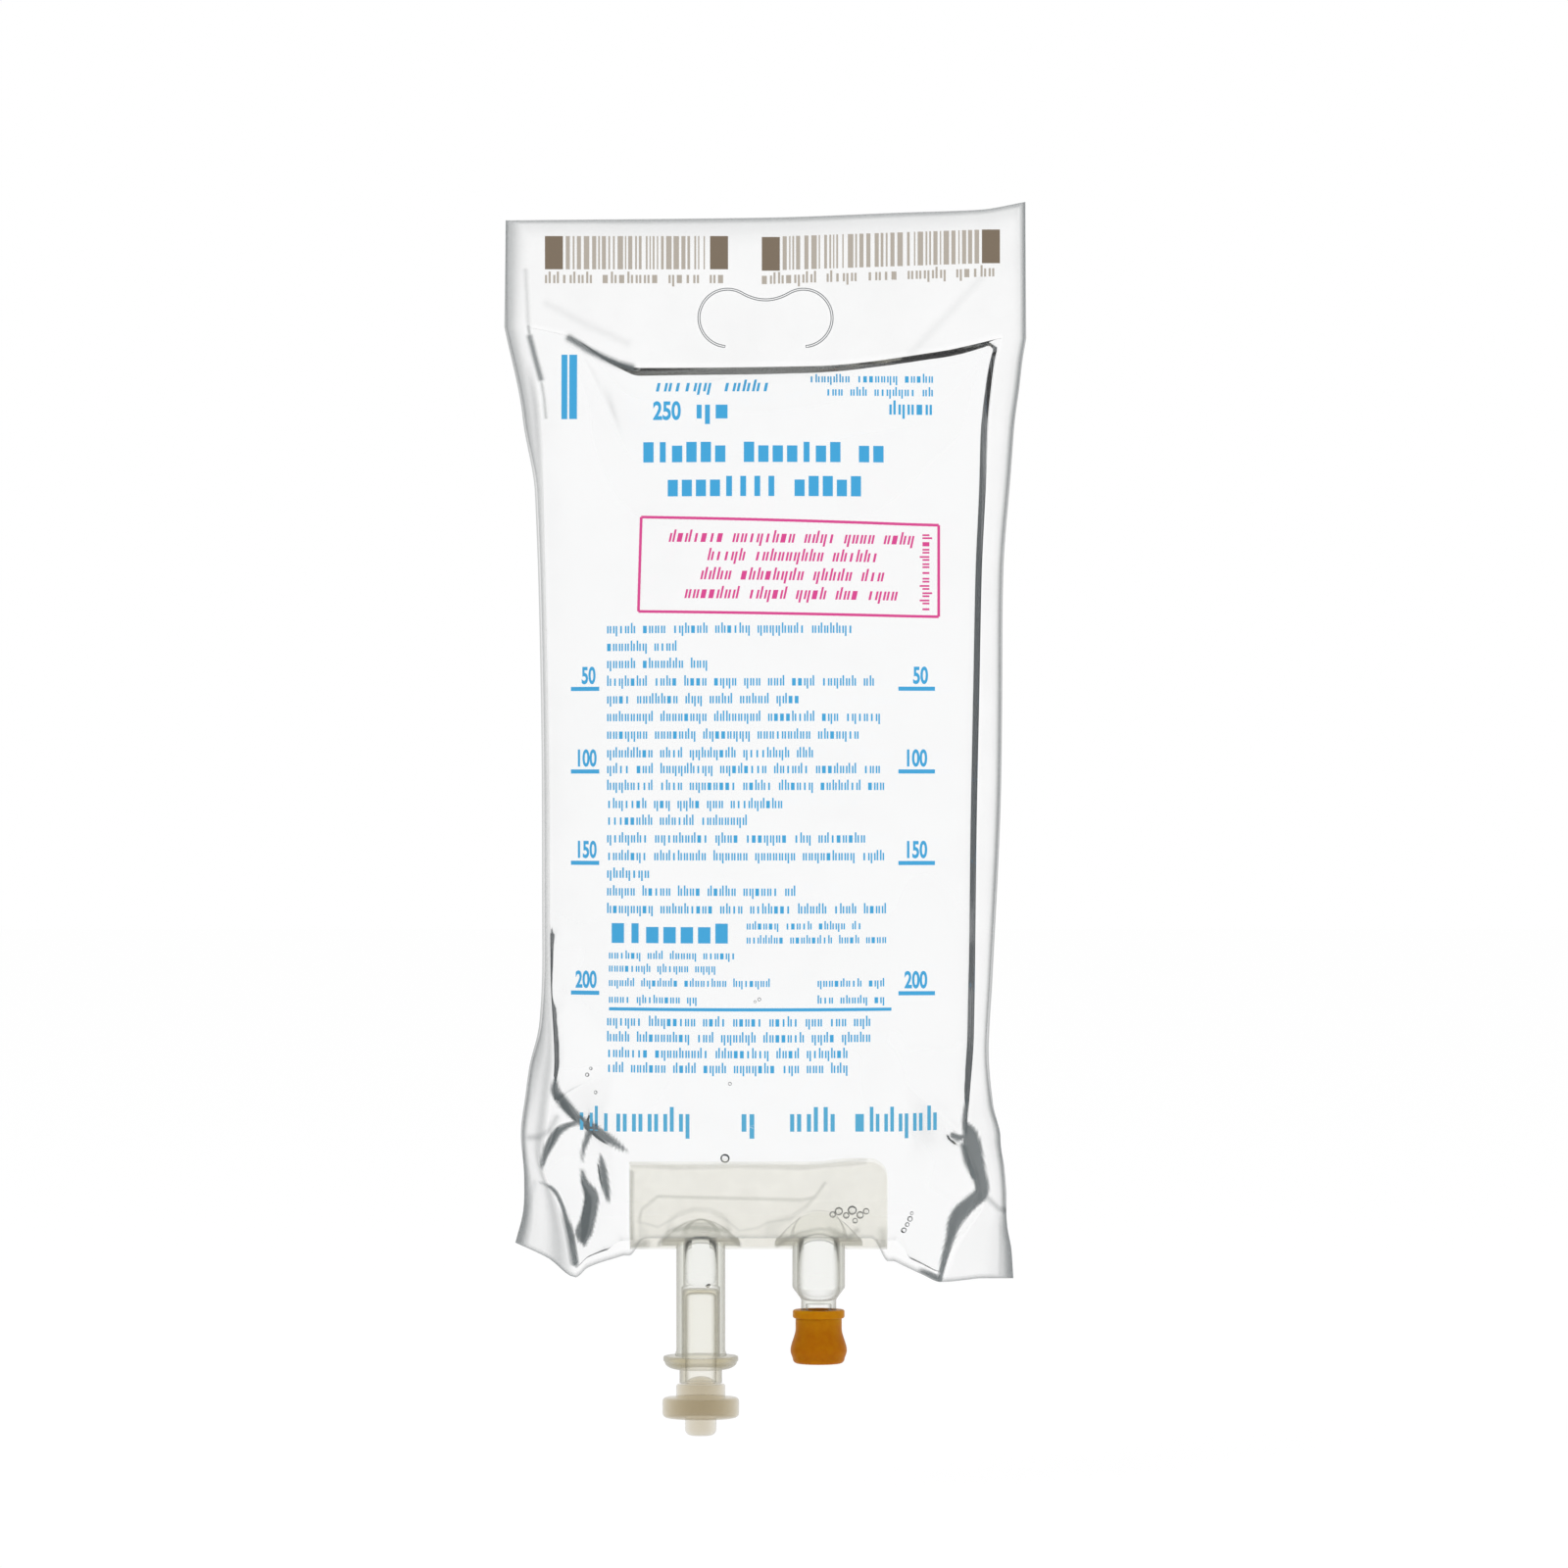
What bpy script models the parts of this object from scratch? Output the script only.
"""A 250 mL infusion bag, hanging upright by the slit that is cut through its top flange.

Metres, +Z up. The printed face looks towards -Y. The origin is where the pole's hook bears: on the
bag's middle line, at the dip in the top of the hanger slit.
"""

import math

import bmesh
import bpy

for old in list(bpy.data.objects):
    bpy.data.objects.remove(old)

# Film, and the clearance between pieces that touch.
FILM_THICKNESS = 0.00025
PORT_FILM_THICKNESS = 0.0004
GAP = 0.0003

# The pouch seen from the front.
FLANGE_TOP = 0.0172
FLANGE_HALF_WIDTH = 0.0562
CHAMBER_TOP = -0.0083
CHAMBER_HEIGHT = 0.1970
SIDE_SEAL = 0.0050
SEAL_WIDTH = 0.0062

# How far each side is drawn in as the pouch fills: (share of the way down, distance).
DRAWN_IN_LEFT = (
    (0.000, -0.0005), (0.099, 0.0027), (0.181, 0.0031), (0.476, 0.0043), (0.683, 0.0046),
    (0.772, 0.0054), (0.835, 0.0042), (0.880, 0.0032), (0.930, 0.0070), (0.965, 0.0088),
    (1.000, 0.0101),
)
DRAWN_IN_RIGHT = (
    (0.000, 0.0005), (0.036, 0.0020), (0.099, 0.0038), (0.190, 0.0049), (0.476, 0.0063),
    (0.747, 0.0069), (0.811, 0.0077), (0.845, 0.0086), (0.905, 0.0052), (0.940, 0.0110),
    (0.970, 0.0126), (1.000, 0.0133),
)
# How much of each side seal shows from the front: the rest of its width is folded back. Below, it
# widens into the flat ear outside the folded corner.
SEAL_SHOWS_LEFT = (
    (0.000, 0.0047), (0.099, 0.0039), (0.181, 0.0016), (0.300, 0.0013), (0.683, 0.0015),
    (0.760, 0.0029), (0.811, 0.0046), (0.880, 0.0048), (0.930, 0.0080), (0.965, 0.0100),
    (1.000, 0.0130),
)
SEAL_SHOWS_RIGHT = (
    (0.000, 0.0056), (0.099, 0.0062), (0.476, 0.0061), (0.683, 0.0050), (0.747, 0.0044),
    (0.811, 0.0062), (0.845, 0.0084), (0.905, 0.0062), (0.940, 0.0118), (0.970, 0.0144),
    (1.000, 0.0157),
)
# How the top edge rises towards its lifted corner, and how the top seal line hangs between its ends:
# (share of the half width, from -1 at the left to 1 at the right, distance).
TOP_EDGE_RISE = ((-1.0, 0.0), (0.0, 0.0006), (0.53, 0.0017), (0.82, 0.0023), (1.0, 0.0040))
TOP_SEAL_DROP = (
    (-1.01, -0.0022), (-0.83, 0.0000), (-0.66, 0.0049), (-0.53, 0.0070), (0.20, 0.0066),
    (0.74, 0.0033), (0.99, 0.0005),
)
# How far the bottom edge reaches below the gusset out in the folded corners: (share of the way from
# the port film's end to the pouch's side, distance).
CORNER_DROP_LEFT = ((0.0, 0.0014), (0.30, 0.0040), (0.405, 0.0061), (0.634, 0.0020), (0.917, -0.0014))
CORNER_DROP_RIGHT = ((0.0, 0.0026), (0.208, 0.0054), (0.356, 0.0071), (0.655, 0.0063))

# The filled pouch from the side: deepest in the middle, full near the seals, fuller low down.
HALF_DEPTH = 0.0124
ROUNDNESS = 0.80
TOP_RUN = 0.044
LOW_SWELL = 0.0012

# The gusset: the port film is folded into a U, and the front and back films wrap it.
PORT_FILM_LEFT = -0.0293
PORT_FILM_RIGHT = 0.0263
PORT_FILM_HEIGHT = 0.0194
GUSSET_ROOM = 0.0021
GUSSET_FLARE_RADIUS = 0.0357
GUSSET_BLEND = 0.024
GUSSET_PULL = 0.944
WRAP_MARGIN = 0.0015
WRAP_SHARE = 0.62
CORNER_CLOSING = 0.0037
CORNER_ROUNDNESS = 0.8

# The hanger slit: two lobes with a dip between them, open below, so that the flap stays on.
SLIT_WIDTH = 0.0005
SLIT_REACH = 0.004
LOBE_RADIUS = 0.0062
LOBE_PLACE = 0.0082
LOBE_DROP = 0.0039
LOBE_TURN = 60.0
LOBE_END = 265.0

# The administration port, measured down from the gusset.
SET_PORT_X = -0.0140
TUBE_RADIUS = 0.0053
TUBE_BORE = 0.0042
TUBE_UPPER_BORE = 0.0038
TUBE_LENGTH = 0.0231
TUBE_LIP = 0.0003
TUBE_LIP_LAND = 0.0004
TUBE_LIP_TAPER = 0.0008
BORE_TAPER = 0.0004
SET_FLANGE_RADIUS = 0.0085
FLANGE_THICKNESS = 0.0009

# The spike sleeve inside it, with its pierceable membrane and its dished collar.
SLEEVE_CLEARANCE = 0.0002
SLEEVE_BORE = 0.0034
SLEEVE_LENGTH = 0.0145
SLEEVE_NOSE = 0.0008
MEMBRANE_THICKNESS = 0.0009
MEMBRANE_ROUND = 0.0010
COLLAR_RADIUS = 0.0081
COLLAR_RIM = 0.0010
COLLAR_EDGE = 0.0003
COLLAR_HEIGHT = 0.0026
MOUTH_RADIUS = 0.0046
MOUTH_LENGTH = 0.0029

# The closure in the sleeve's mouth.
PLUG_CLEARANCE = 0.0002
PLUG_HEIGHT = 0.0017
CAP_BODY_RADIUS = 0.0053
CAP_BODY_HEIGHT = 0.0029
CAP_BODY_EDGE = 0.0004
GRIP_RADIUS = 0.0083
GRIP_HEIGHT = 0.0043
GRIP_SHOULDER = 0.0008
GRIP_UNDERSIDE = 0.0010
NUB_RADIUS = 0.0034
NUB_HEIGHT = 0.0039
NUB_END_ROUND = 0.0014

# The medication port, measured down from the gusset, and its rubber stopper.
MEDICATION_PORT_X = 0.0115
MEDICATION_FLANGE_RADIUS = 0.0095
CHAMBER_RADIUS = 0.0057
CHAMBER_BORE = 0.0047
CHAMBER_LENGTH = 0.0080
CHAMBER_FLOOR_ROUND = 0.0020
CHAMBER_FLOOR_DISH = 0.0030
SHOULDER_HEIGHT = 0.0027
SHOULDER_ROUND = 0.0008
NECK_RADIUS = 0.0038
NECK_BORE = 0.0028
NECK_LENGTH = 0.0098
NECK_ROOT = 0.0003
DIAPHRAGM_DROP = 0.0004
DIAPHRAGM_THICKNESS = 0.0008
STOPPER_SEAT = 0.0024
STOPPER_CLEARANCE = 0.0002
STOPPER_HEIGHT = 0.0116
STOPPER_RIM_RADIUS = 0.0056
STOPPER_RIM_HEIGHT = 0.0018
STOPPER_RIM_EDGE = 0.0004
STOPPER_WAIST_RADIUS = 0.0050
STOPPER_WAIST_DROP = 0.0040
STOPPER_BELLY_RADIUS = 0.0061
STOPPER_BELLY_DROP = 0.0088
STOPPER_FACE_RADIUS = 0.0046
STOPPER_FACE_EDGE = 0.0010

# The liquid keeps this far inside the film, is this thin at its edges, and runs down into the ports.
LIQUID_CLEARANCE = 0.0004
LIQUID_EDGE = 0.00012
LIQUID_WRAP_SHARE = 0.88
LEG_END_ROUND = 0.0020

SEGMENTS = 28
ON_AXIS = 0.000001
CHAMBER_HALF_WIDTH = FLANGE_HALF_WIDTH - SIDE_SEAL
GUSSET_BOTTOM = CHAMBER_TOP - CHAMBER_HEIGHT
GUSSET_RADIUS = max(CHAMBER_RADIUS, TUBE_RADIUS) + GUSSET_ROOM
ARC_CENTRE = GUSSET_BOTTOM + GUSSET_RADIUS
FILM_RADIUS = GUSSET_RADIUS + GAP
FLANGE_OUTER = GUSSET_RADIUS - PORT_FILM_THICKNESS - GAP
FLANGE_INNER = FLANGE_OUTER - FLANGE_THICKNESS
GUSSET_CLEARANCE = FILM_RADIUS - (FLANGE_INNER - GAP)


def through(stations, at):
    """A smooth curve through (place, value) stations that never overshoots them."""
    places = [place for place, _ in stations]
    values = [value for _, value in stations]
    if at <= places[0]:
        return values[0]
    if at >= places[-1]:
        return values[-1]
    pairs = range(len(places) - 1)
    slopes = [(values[i + 1] - values[i]) / (places[i + 1] - places[i]) for i in pairs]
    tangents = [slopes[0]]
    for before, after in zip(slopes, slopes[1:]):
        turns = before * after <= 0.0
        tangents.append(0.0 if turns else 2.0 * before * after / (before + after))
    tangents.append(slopes[-1])
    i = max(k for k in pairs if places[k] <= at)
    span = places[i + 1] - places[i]
    t = (at - places[i]) / span
    return (
        (1.0 + 2.0 * t) * (1.0 - t) ** 2 * values[i]
        + t * (1.0 - t) ** 2 * span * tangents[i]
        + t * t * (3.0 - 2.0 * t) * values[i + 1]
        + t * t * (t - 1.0) * span * tangents[i + 1]
    )


def mix(start, end, share):
    return start + (end - start) * share


def smooth(share):
    share = min(1.0, max(0.0, share))
    return share * share * (3.0 - 2.0 * share)


def chamber_edges(down):
    left = through(DRAWN_IN_LEFT, down) - CHAMBER_HALF_WIDTH
    right = CHAMBER_HALF_WIDTH - through(DRAWN_IN_RIGHT, down)
    return left, right


def top_seal(x):
    return CHAMBER_TOP - through(TOP_SEAL_DROP, x / CHAMBER_HALF_WIDTH)


def past_port_film(x):
    """How far a place lies outside the port film, and how far the pouch's side does, on that side."""
    edge = WRAP_MARGIN - PORT_FILM_LEFT if x < 0.0 else PORT_FILM_RIGHT + WRAP_MARGIN
    return max(0.0, abs(x) - edge), FLANGE_HALF_WIDTH - edge


def corner_closing(x):
    """0 over the port film, and 1 out in the corners, where the two films are sealed together."""
    return smooth(past_port_film(x)[0] / CORNER_CLOSING)


def closing_depth(x):
    """How far under the arc's centre the film closes, or would close if it went all the way round."""
    past, whole = past_port_film(x)
    drop = through(CORNER_DROP_LEFT if x < 0.0 else CORNER_DROP_RIGHT, past / whole)
    return mix(FILM_RADIUS, GUSSET_RADIUS + drop, corner_closing(x))


def bottom_edge(x, wrap_share=WRAP_SHARE, clearance=0.0):
    covered = mix(wrap_share, 1.0, corner_closing(x))
    return ARC_CENTRE - covered * (closing_depth(x) - clearance)


def corner_taper(x, left, right):
    """1 over the port film, falling in a rounded line to 0 at the folded corners."""
    past, whole = past_port_film(x)
    side = -left if x < 0.0 else right
    away = past / (side - FLANGE_HALF_WIDTH + whole)
    return max(0.0, 1.0 - away * away) ** CORNER_ROUNDNESS


def gusset_half(z, radius, depth):
    """Half the gusset's width, front to back: it flares above the arc's centre and is round below it."""
    below = ARC_CENTRE - z
    if below < 0.0:
        return radius + 0.5 * below * below / GUSSET_FLARE_RADIUS
    return radius * math.sqrt(max(0.0, 1.0 - (below / depth) ** 2))


def half_depth(x, z, down, clearance=0.0, gusset_clearance=0.0):
    """Half the pouch's depth at a place on its front, inside the film, less a clearance."""
    left, right = chamber_edges(down)
    across = (x - left) / (right - left)
    fallen = min(1.0, max(0.0, (top_seal(x) - z) / TOP_RUN))
    round_across = max(0.0, 4.0 * across * (1.0 - across)) ** ROUNDNESS
    round_down = (1.0 - (1.0 - fallen) ** 2) ** ROUNDNESS
    belly = (HALF_DEPTH + LOW_SWELL * smooth(down)) * round_across * round_down
    gusset = corner_taper(x, left, right) * gusset_half(
        z, FILM_RADIUS - gusset_clearance, closing_depth(x) - gusset_clearance
    )
    gusset_top = GUSSET_BOTTOM + PORT_FILM_HEIGHT + WRAP_MARGIN
    low = smooth((gusset_top + GUSSET_BLEND - z) / GUSSET_BLEND)
    return max(0.0, mix(belly - clearance, gusset, low))


def sheet_place(column, row):
    """A place on the pouch's middle sheet, with the films' half depth there and the seal's turn.

    Columns run from -1 at the left edge to 0 and 1 at the chamber's edges and 2 at the right edge.
    Rows run from -1 at the top edge to 0 at the top seal line and 1 at the bottom edge.
    """
    inside = min(1.0, max(0.0, column))
    outside = abs(column - inside)
    side = -1.0 if column < 0.5 else 1.0
    shows = SEAL_SHOWS_LEFT if side < 0.0 else SEAL_SHOWS_RIGHT

    def place_across(down):
        left, right = chamber_edges(down)
        return mix(left, right, inside) + side * outside * through(shows, down)

    down = max(0.0, row)
    showing = through(shows, down)
    width = max(SEAL_WIDTH, showing)
    turn = math.acos(min(1.0, showing / width))
    x = place_across(down)
    y = outside * math.sqrt(max(0.0, width * width - showing * showing))
    x_top = place_across(0.0)
    z = mix(top_seal(x_top), bottom_edge(place_across(1.0)), down)
    if row < 0.0:
        seal_edge = FLANGE_HALF_WIDTH - SEAL_WIDTH
        x_flange = mix(-seal_edge, seal_edge, inside) + side * outside * SEAL_WIDTH
        top_edge = FLANGE_TOP + through(TOP_EDGE_RISE, x_flange / FLANGE_HALF_WIDTH)
        z = mix(top_seal(x_top), top_edge, -row)
        x = mix(x_top, x_flange, -row)
        y = y * (1.0 + row) ** 2
        turn = turn * (1.0 + row) ** 2
    deep = 0.0 < column < 1.0 and row > 0.0
    half = half_depth(x, z, down) if deep else 0.0
    turn = turn if outside > 0.0 else 0.5 * turn * (column in (0.0, 1.0))
    return x, y, z, half, side * turn


def arc(centre_x, centre_z, radius_x, radius_z, start, end, steps):
    """Points of an arc in an outline or a turned profile, angles in degrees."""
    points = []
    for i in range(steps + 1):
        angle = math.radians(mix(start, end, i / steps))
        points.append((centre_x + radius_x * math.cos(angle), centre_z + radius_z * math.sin(angle)))
    return points


def material(name, colour, roughness, transmission):
    made = bpy.data.materials.new(name)
    made.use_nodes = True
    shader = made.node_tree.nodes["Principled BSDF"]
    shader.inputs["Base Color"].default_value = (*colour, 1.0)
    shader.inputs["Roughness"].default_value = roughness
    shader.inputs["Transmission Weight"].default_value = transmission
    return made


CLEAR_FILM = material("clear_film", (0.95, 0.96, 0.96), 0.08, 0.95)
MILKY_FILM = material("milky_film", (0.87, 0.85, 0.78), 0.30, 0.60)
LIQUID = material("liquid", (0.98, 0.99, 1.00), 0.00, 1.00)
PORT_PLASTIC = material("port_plastic", (0.87, 0.85, 0.78), 0.22, 0.75)
CAP_PLASTIC = material("cap_plastic", (0.78, 0.74, 0.66), 0.35, 0.45)
AMBER_RUBBER = material("amber_rubber", (0.62, 0.27, 0.01), 0.45, 0.10)


def new_object(name, mesh_builder, finish, smooth_angle=40.0):
    mesh = bpy.data.meshes.new(name)
    mesh_builder.to_mesh(mesh)
    mesh_builder.free()
    mesh.materials.append(finish)
    mesh.shade_smooth()
    mesh.set_sharp_from_angle(angle=math.radians(smooth_angle))
    made = bpy.data.objects.new(name, mesh)
    bpy.context.scene.collection.objects.link(made)
    return made


def guide(name, mesh_builder):
    made = new_object(name, mesh_builder, PORT_PLASTIC)
    made.hide_render = True
    made.display_type = "WIRE"
    return made


def boolean(target, other, operation):
    modifier = target.modifiers.new(operation.lower(), "BOOLEAN")
    modifier.operation = operation
    modifier.solver = "EXACT"
    modifier.object = other


def thicken(target, thickness):
    """Adds the wall on the side that the faces point to, or behind them where it is negative."""
    modifier = target.modifiers.new("wall", "SOLIDIFY")
    modifier.thickness = abs(thickness)
    modifier.offset = math.copysign(1.0, thickness)


def net_faces(built, rows, flipped):
    """Faces over rows of vertices, each cell cut along the same diagonal so that sheets nest."""
    for upper, lower in zip(rows, rows[1:]):
        for i in range(len(upper) - 1):
            for corners in (
                [upper[i], lower[i], lower[i + 1]],
                [upper[i], lower[i + 1], upper[i + 1]],
            ):
                built.faces.new(corners[::-1] if flipped else corners)


def grid(places, flipped=False):
    """A sheet over rows of places."""
    built = bmesh.new()
    rows = [[built.verts.new(place) for place in row] for row in places]
    net_faces(built, rows, flipped)
    return built


def ring(built, x, radius, z):
    """One level ring of a turned piece, or its single point on the axis."""
    if radius < ON_AXIS:
        return [built.verts.new((x, 0.0, z))]
    angles = [2.0 * math.pi * i / SEGMENTS for i in range(SEGMENTS)]
    return [built.verts.new((x + radius * math.cos(a), radius * math.sin(a), z)) for a in angles]


def skin(built, rings, looped):
    """Faces from each ring to the next, and back to the first one where the profile is a loop."""
    following = rings[1:] + rings[:1] if looped else rings[1:]
    for ring_a, ring_b in zip(rings, following):
        for i in range(SEGMENTS):
            j = (i + 1) % SEGMENTS
            if len(ring_a) == 1:
                built.faces.new((ring_a[0], ring_b[j], ring_b[i]))
            elif len(ring_b) == 1:
                built.faces.new((ring_a[i], ring_a[j], ring_b[0]))
            else:
                built.faces.new((ring_a[i], ring_a[j], ring_b[j], ring_b[i]))
    bmesh.ops.recalc_face_normals(built, faces=built.faces)


def turned(profile, x):
    """A solid turned about the upright axis at x, from a (radius, height) profile.

    A profile that starts and ends on the axis is closed there, and any other closes on itself.
    """
    built = bmesh.new()
    rings = [ring(built, x, radius, z) for radius, z in profile]
    skin(built, rings, looped=profile[0][0] > ON_AXIS)
    return built


# Both films share one net: close together at the seals, at the port film's ends and at both ends of
# the chamber, where the sheet bends most.
FILM_COLUMNS = (
    -1.0, -0.25, 0.0, 0.010, 0.035, 0.0835, 0.13, 0.20, 0.28, 0.37, 0.46, 0.55, 0.64, 0.73, 0.80,
    0.872, 0.919, 0.965, 0.990, 1.0, 1.25, 2.0,
)
FILM_ROWS = (
    -1.0, -0.72, -0.35, 0.0, 0.006, 0.020, 0.045, 0.080, 0.125, 0.180, 0.240, 0.310, 0.380, 0.450,
    0.520, 0.590, 0.650, 0.700, 0.745, 0.785, 0.820, 0.850, 0.875, 0.895, 0.912, 0.928, 0.944,
    0.960, 0.972, 0.984, 0.993, 1.0,
)


def film(name, facing):
    """One sheet of the pouch: facing is -1 for the printed front and 1 for the back."""
    places = []
    for row in FILM_ROWS:
        line = []
        for column in FILM_COLUMNS:
            x, y, z, half, turn = sheet_place(column, row)
            across = facing * 0.5 * GAP
            x_out = x - across * math.sin(turn)
            y_out = y + across * math.cos(turn) + facing * half
            line.append((x_out, y_out, z))
        places.append(line)
    made = new_object(name, grid(places, flipped=facing > 0.0), CLEAR_FILM, smooth_angle=60.0)
    thicken(made, FILM_THICKNESS)
    return made


def slit_path():
    """The hanger slit's line, from the end of the left lobe over the dip to the end of the right."""
    left = arc(-LOBE_PLACE, -LOBE_DROP, LOBE_RADIUS, LOBE_RADIUS, LOBE_END, LOBE_TURN, 14)
    start_x, start_z = left[-1]
    slope = -1.0 / math.tan(math.radians(LOBE_TURN))
    for i in range(1, 5):
        t = i / 5
        rise = (1.0 + 2.0 * t) * (1.0 - t) ** 2 * start_z - t * (1.0 - t) ** 2 * start_x * slope
        left.append((start_x * (1.0 - t), rise))
    right = [(-x, z) for x, z in reversed(left)]
    return left + [(0.0, 0.0)] + right


def slit_cutter():
    """A thin wall along the slit's line that stands through both films."""
    path = slit_path()
    built = bmesh.new()
    rings = []
    for i, (x, z) in enumerate(path):
        before = path[max(0, i - 1)]
        after = path[min(len(path) - 1, i + 1)]
        along = (after[0] - before[0], after[1] - before[1])
        length = math.hypot(*along)
        across = (-along[1] / length * SLIT_WIDTH / 2.0, along[0] / length * SLIT_WIDTH / 2.0)
        corners = ((1, -1), (1, 1), (-1, 1), (-1, -1))
        rings.append([
            built.verts.new((x + side * across[0], deep * SLIT_REACH, z + side * across[1]))
            for side, deep in corners
        ])
    for ring, following in zip(rings, rings[1:]):
        for i in range(4):
            j = (i + 1) % 4
            built.faces.new((ring[i], ring[j], following[j], following[i]))
    built.faces.new(rings[0])
    built.faces.new(rings[-1])
    bmesh.ops.recalc_face_normals(built, faces=built.faces)
    return guide("slit_cutter", built)


FRONT_FILM = film("front_film", -1.0)
BACK_FILM = film("back_film", 1.0)
SLIT_CUTTER = slit_cutter()
boolean(FRONT_FILM, SLIT_CUTTER, "DIFFERENCE")
boolean(BACK_FILM, SLIT_CUTTER, "DIFFERENCE")


def port_film_profile():
    """The U seen from its end, from the top of its front panel round to the top of its back panel."""
    panel = []
    for i in range(5):
        z = mix(GUSSET_BOTTOM + PORT_FILM_HEIGHT, ARC_CENTRE, i / 5)
        panel.append((-gusset_half(z, GUSSET_RADIUS, GUSSET_RADIUS), z))
    bend = arc(0.0, ARC_CENTRE, GUSSET_RADIUS, GUSSET_RADIUS, 180.0, 360.0, 16)
    return panel + bend + [(-y, z) for y, z in reversed(panel)]


def port_film():
    ends = (PORT_FILM_LEFT, PORT_FILM_RIGHT)
    places = [[(x, y, z) for x in ends] for y, z in port_film_profile()]
    made = new_object("port_film", grid(places), MILKY_FILM)
    thicken(made, -PORT_FILM_THICKNESS)
    return made


def port_hole(name, x, radius):
    top = ARC_CENTRE
    bottom = GUSSET_BOTTOM - GUSSET_RADIUS
    return guide(name, turned([(0.0, top), (radius, top), (radius, bottom), (0.0, bottom)], x))


PORT_FILM = port_film()
boolean(PORT_FILM, port_hole("set_port_hole", SET_PORT_X, TUBE_RADIUS + GAP), "DIFFERENCE")
boolean(PORT_FILM, port_hole("medication_hole", MEDICATION_PORT_X, CHAMBER_RADIUS + GAP), "DIFFERENCE")


def bent_ring(built, x, radius, surface, turn):
    """A flange ring bent to the inside of the gusset's U: surface is the radius of the bend."""
    points = []
    for i in range(SEGMENTS):
        angle = 2.0 * math.pi * i / SEGMENTS
        wrap = turn(math.sin(angle))
        place = (
            x + radius * math.cos(angle), surface * math.sin(wrap), ARC_CENTRE - surface * math.cos(wrap)
        )
        points.append(built.verts.new(place))
    return points


def port(name, x, bore, tube, flange_radius, inside, outside):
    """A port from the bottom of its bore, up and out over its weld flange, and down its tube."""
    built = bmesh.new()

    def rim_turn(sine):
        return math.asin(bore * sine / FLANGE_INNER) + (flange_radius - bore) * sine / FLANGE_INNER

    def inner_turn(share):
        return lambda sine: mix(math.asin(bore * sine / FLANGE_INNER), rim_turn(sine), share)

    def outer_turn(share):
        return lambda sine: mix(math.asin(tube * sine / FLANGE_OUTER), rim_turn(sine), share)

    rings = [ring(built, x, radius, z) for radius, z in inside]
    for share in (0.0, 0.5, 1.0):
        radius = mix(bore, flange_radius, share)
        rings.append(bent_ring(built, x, radius, FLANGE_INNER, inner_turn(share)))
    for share in (1.0, 0.5, 0.0):
        radius = mix(tube, flange_radius, share)
        rings.append(bent_ring(built, x, radius, FLANGE_OUTER, outer_turn(share)))
    rings += [ring(built, x, radius, z) for radius, z in outside]
    skin(built, rings, looped=inside[0][0] > ON_AXIS)
    return new_object(name, built, PORT_PLASTIC)


TUBE_END = GUSSET_BOTTOM - TUBE_LENGTH
SLEEVE_TOP = TUBE_END + SLEEVE_LENGTH
BORE_STEP = SLEEVE_TOP + GAP
LIP_RADIUS = TUBE_RADIUS + TUBE_LIP
LIP_TOP = TUBE_END + TUBE_LIP_LAND
SET_PORT = port(
    "set_port", SET_PORT_X, TUBE_UPPER_BORE, TUBE_RADIUS, SET_FLANGE_RADIUS,
    inside=[
        (TUBE_BORE, TUBE_END), (TUBE_BORE, BORE_STEP), (TUBE_UPPER_BORE, BORE_STEP + BORE_TAPER),
    ],
    outside=[
        (TUBE_RADIUS, LIP_TOP + TUBE_LIP_TAPER), (LIP_RADIUS, LIP_TOP), (LIP_RADIUS, TUBE_END),
    ],
)


def spike_sleeve():
    """The sleeve from its membrane down its outside, over its dished collar and back up its bore."""
    radius = TUBE_BORE - SLEEVE_CLEARANCE
    rim = COLLAR_TOP - COLLAR_RIM
    dish = COLLAR_RADIUS - COLLAR_EDGE - MOUTH_RADIUS
    bore_top = SLEEVE_TOP - MEMBRANE_THICKNESS
    nose = arc(radius - SLEEVE_NOSE, SLEEVE_TOP - SLEEVE_NOSE, SLEEVE_NOSE, SLEEVE_NOSE, 90.0, 0.0, 3)
    collar = [
        (radius, COLLAR_TOP), (LIP_RADIUS + GAP, COLLAR_TOP),
        (COLLAR_RADIUS - COLLAR_EDGE, COLLAR_TOP + COLLAR_EDGE), (COLLAR_RADIUS, COLLAR_TOP),
        (COLLAR_RADIUS, rim + COLLAR_EDGE),
    ]
    dished = arc(MOUTH_RADIUS, rim, dish, COLLAR_BOTTOM - rim, 0.0, 90.0, 4)
    mouth = [(MOUTH_RADIUS, MOUTH_END), (SLEEVE_BORE, MOUTH_END)]
    membrane = arc(
        SLEEVE_BORE - MEMBRANE_ROUND, bore_top - MEMBRANE_ROUND, MEMBRANE_ROUND, MEMBRANE_ROUND,
        0.0, 90.0, 3,
    )
    profile = [(0.0, SLEEVE_TOP)] + nose + collar + dished + mouth + membrane + [(0.0, bore_top)]
    return new_object("spike_sleeve", turned(profile, SET_PORT_X), PORT_PLASTIC)


COLLAR_TOP = TUBE_END - GAP
COLLAR_BOTTOM = COLLAR_TOP - COLLAR_HEIGHT
MOUTH_END = COLLAR_BOTTOM - MOUTH_LENGTH
SPIKE_SLEEVE = spike_sleeve()


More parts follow.
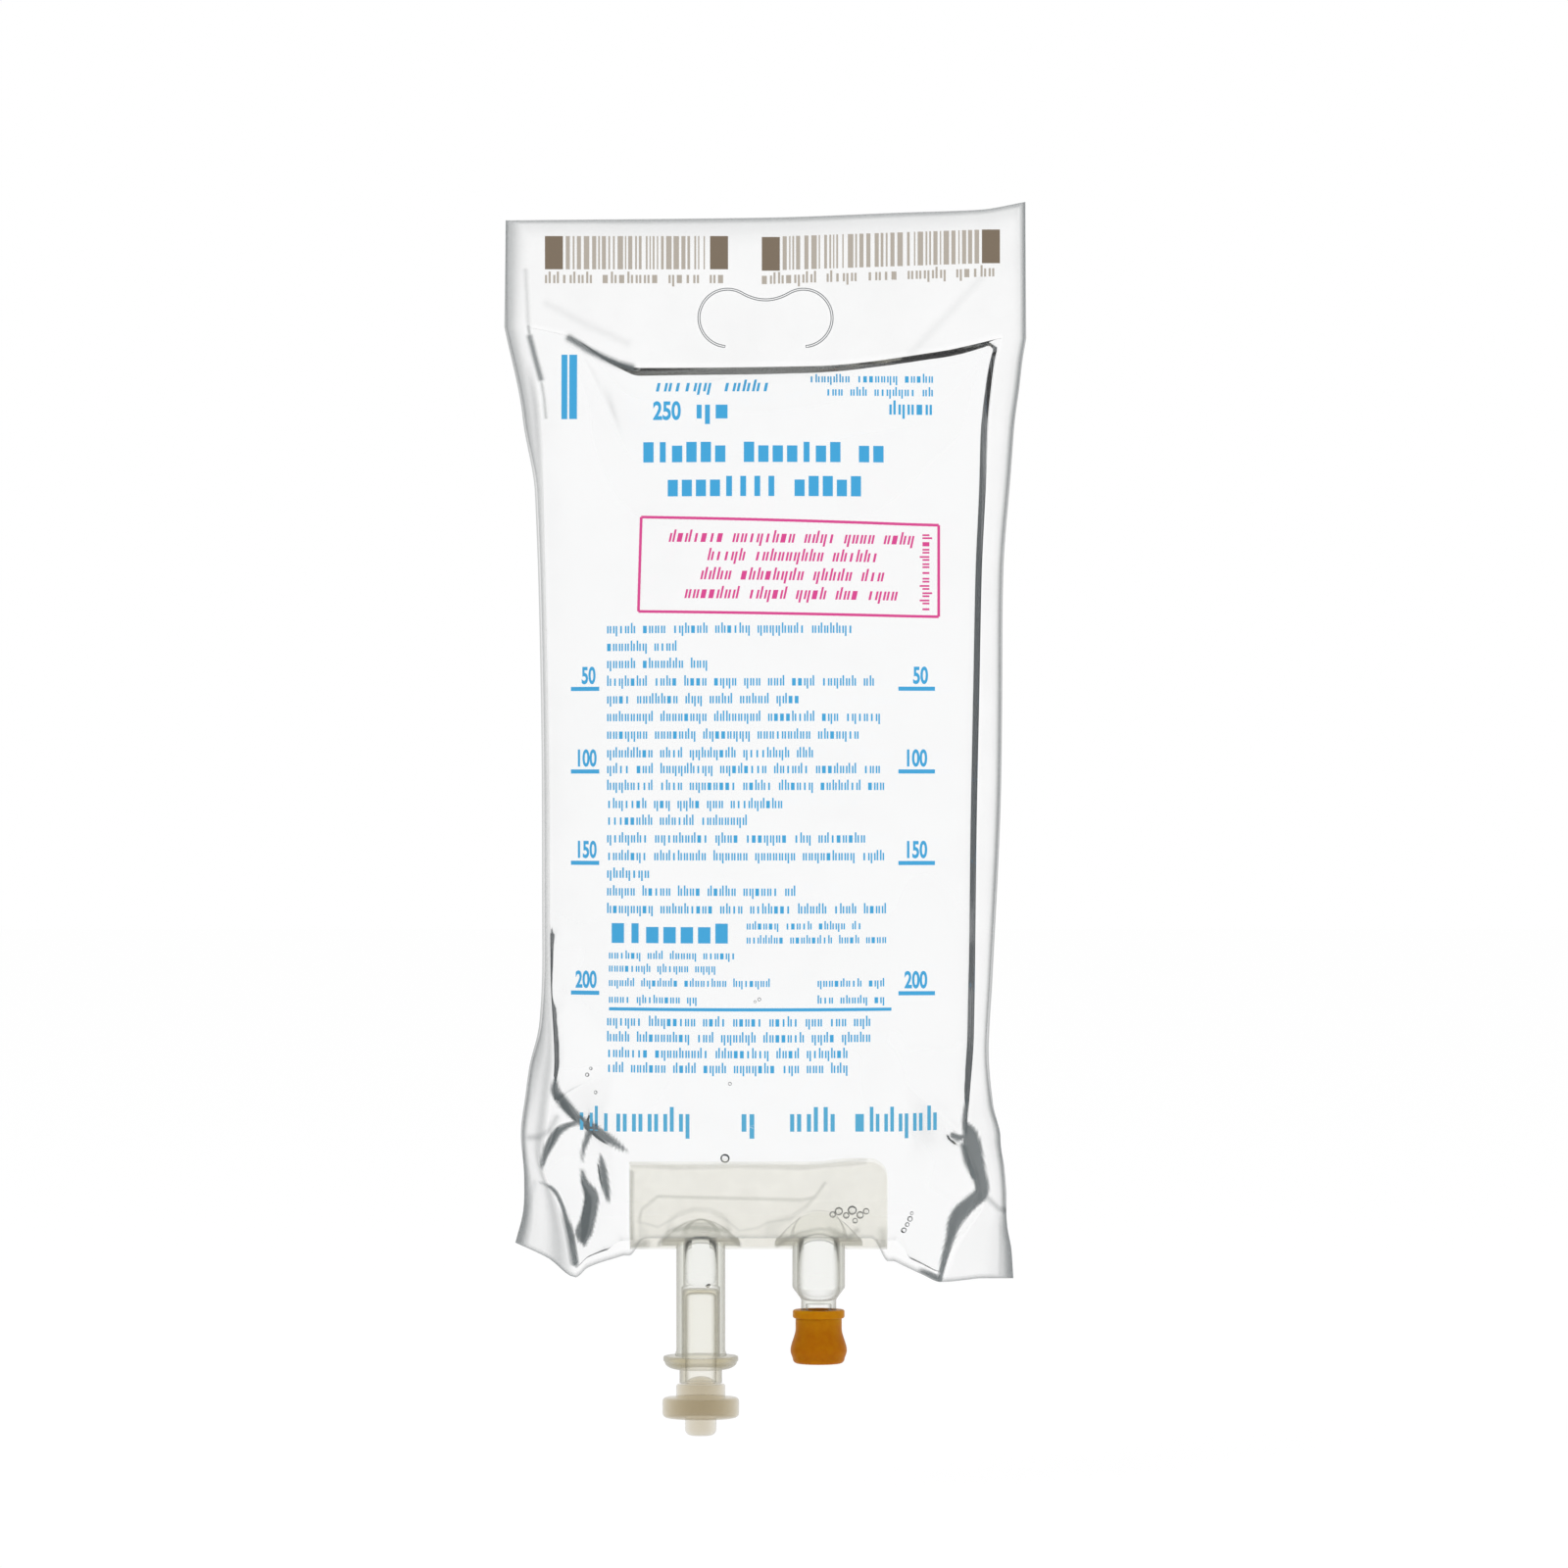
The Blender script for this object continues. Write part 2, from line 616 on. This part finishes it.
def pull_cap():
    """The closure: a domed plug in the sleeve's mouth, a body, the grip disc, and a nub below it."""
    top = MOUTH_END - GAP
    grip_top = top - CAP_BODY_HEIGHT
    grip_bottom = grip_top - GRIP_HEIGHT
    end = grip_bottom - NUB_HEIGHT
    edge = CAP_BODY_EDGE
    plug = arc(0.0, top, SLEEVE_BORE - PLUG_CLEARANCE, PLUG_HEIGHT, 90.0, 0.0, 4)
    body = arc(CAP_BODY_RADIUS - edge, top - edge, edge, edge, 90.0, 0.0, 2)
    shoulder = arc(
        GRIP_RADIUS - GRIP_SHOULDER, grip_top - GRIP_SHOULDER, GRIP_SHOULDER, GRIP_SHOULDER,
        90.0, 0.0, 3,
    )
    underside = arc(
        GRIP_RADIUS - GRIP_UNDERSIDE, grip_bottom + GRIP_UNDERSIDE, GRIP_UNDERSIDE, GRIP_UNDERSIDE,
        0.0, -90.0, 3,
    )
    nub = arc(
        NUB_RADIUS - NUB_END_ROUND, end + NUB_END_ROUND, NUB_END_ROUND, NUB_END_ROUND,
        0.0, -90.0, 3,
    )
    profile = (
        plug + body + [(CAP_BODY_RADIUS, grip_top)] + shoulder + underside
        + [(NUB_RADIUS, grip_bottom)] + nub + [(0.0, end)]
    )
    return new_object("pull_cap", turned(profile, SET_PORT_X), CAP_PLASTIC)


PULL_CAP = pull_cap()

CHAMBER_END = GUSSET_BOTTOM - CHAMBER_LENGTH
NECK_START = CHAMBER_END - SHOULDER_HEIGHT
NECK_END = NECK_START - NECK_LENGTH
DIAPHRAGM_TOP = NECK_START - DIAPHRAGM_DROP
DIAPHRAGM_UNDER = DIAPHRAGM_TOP - DIAPHRAGM_THICKNESS
MEDICATION_PORT = port(
    "medication_port", MEDICATION_PORT_X, CHAMBER_BORE, CHAMBER_RADIUS, MEDICATION_FLANGE_RADIUS,
    inside=[(0.0, DIAPHRAGM_TOP)] + arc(
        CHAMBER_BORE - CHAMBER_FLOOR_ROUND, DIAPHRAGM_TOP + CHAMBER_FLOOR_DISH,
        CHAMBER_FLOOR_ROUND, CHAMBER_FLOOR_DISH, -90.0, 0.0, 5,
    ),
    outside=arc(
        CHAMBER_RADIUS - SHOULDER_ROUND, CHAMBER_END, SHOULDER_ROUND, SHOULDER_ROUND, 0.0, -45.0, 2,
    ) + [
        (NECK_RADIUS + NECK_ROOT, NECK_START + NECK_ROOT), (NECK_RADIUS, NECK_START - NECK_ROOT),
        (NECK_RADIUS, NECK_END), (NECK_BORE, NECK_END),
        (NECK_BORE, DIAPHRAGM_UNDER), (0.0, DIAPHRAGM_UNDER),
    ],
)


def stopper():
    """The rubber sleeve stopper over the neck: a rolled rim, a waist and a belly above its flat face."""
    top = NECK_START - STOPPER_SEAT
    face = top - STOPPER_HEIGHT
    bore = NECK_RADIUS + STOPPER_CLEARANCE
    bore_end = NECK_END - GAP
    edge = STOPPER_RIM_EDGE
    rim = [
        (STOPPER_RIM_RADIUS - edge, top), (STOPPER_RIM_RADIUS, top - edge),
        (STOPPER_RIM_RADIUS, top - STOPPER_RIM_HEIGHT + edge),
    ]
    stations = (
        (STOPPER_RIM_HEIGHT, STOPPER_WAIST_RADIUS), (STOPPER_WAIST_DROP, STOPPER_WAIST_RADIUS),
        (STOPPER_BELLY_DROP, STOPPER_BELLY_RADIUS),
        (STOPPER_HEIGHT - STOPPER_FACE_EDGE, STOPPER_FACE_RADIUS + STOPPER_FACE_EDGE),
    )
    drops = [mix(STOPPER_RIM_HEIGHT, STOPPER_HEIGHT - STOPPER_FACE_EDGE, i / 8) for i in range(9)]
    side = [(through(stations, drop), top - drop) for drop in drops]
    round_edge = arc(
        STOPPER_FACE_RADIUS, face + STOPPER_FACE_EDGE, STOPPER_FACE_EDGE, STOPPER_FACE_EDGE,
        -30.0, -90.0, 2,
    )
    profile = [(0.0, bore_end), (bore, bore_end), (bore, top)] + rim + side + round_edge + [(0.0, face)]
    return new_object("stopper", turned(profile, MEDICATION_PORT_X), AMBER_RUBBER)


STOPPER = stopper()


# The liquid uses the film's net, less its outermost lines.
LIQUID_COLUMNS = [column for column in FILM_COLUMNS if 0.0 < column < 1.0]
LIQUID_ROWS = [row for row in FILM_ROWS if row > 0.0]


def liquid_place(column, row):
    """A place on the liquid's front: on the film's net, but clear of the film and weld flanges."""
    x, _, z, _, _ = sheet_place(column, row)
    if row > GUSSET_PULL:
        above = sheet_place(column, GUSSET_PULL)[2]
        end = bottom_edge(sheet_place(column, 1.0)[0], LIQUID_WRAP_SHARE, GUSSET_CLEARANCE)
        z = mix(above, end, (row - GUSSET_PULL) / (1.0 - GUSSET_PULL))
    half = half_depth(x, z, row, LIQUID_CLEARANCE, GUSSET_CLEARANCE)
    return x, max(LIQUID_EDGE, half + 0.5 * GAP), z


def liquid():
    """The liquid: a front and a back net closed by a narrow band all round."""
    places = [[liquid_place(column, row) for column in LIQUID_COLUMNS] for row in LIQUID_ROWS]
    built = bmesh.new()
    front = [[built.verts.new((x, -y, z)) for x, y, z in line] for line in places]
    back = [[built.verts.new((x, y, z)) for x, y, z in line] for line in places]
    net_faces(built, front, flipped=False)
    net_faces(built, back, flipped=True)

    def rim(net):
        sides = [line[-1] for line in net[1:-1]]
        return net[0] + sides + net[-1][::-1] + [line[0] for line in net[1:-1]][::-1]

    front_rim = rim(front)
    back_rim = rim(back)
    for i in range(len(front_rim)):
        j = (i + 1) % len(front_rim)
        built.faces.new((front_rim[i], front_rim[j], back_rim[j], back_rim[i]))
    bmesh.ops.recalc_face_normals(built, faces=built.faces)
    return new_object("solution", built, LIQUID, smooth_angle=60.0)


def leg(name, x, radius, round_height, end):
    """The liquid that stands in a port: a round column with a domed end."""
    profile = (
        [(0.0, ARC_CENTRE), (radius, ARC_CENTRE)]
        + arc(radius - LEG_END_ROUND, end + round_height, LEG_END_ROUND, round_height, 0.0, -90.0, 5)
        + [(0.0, end)]
    )
    return guide(name, turned(profile, x))


SOLUTION = liquid()
SET_LEG = leg("set_leg", SET_PORT_X, TUBE_UPPER_BORE - GAP, LEG_END_ROUND, BORE_STEP + GAP)
MEDICATION_LEG = leg(
    "medication_leg", MEDICATION_PORT_X, CHAMBER_BORE - GAP, CHAMBER_FLOOR_DISH, DIAPHRAGM_TOP + GAP
)
boolean(SOLUTION, SET_LEG, "UNION")
boolean(SOLUTION, MEDICATION_LEG, "UNION")
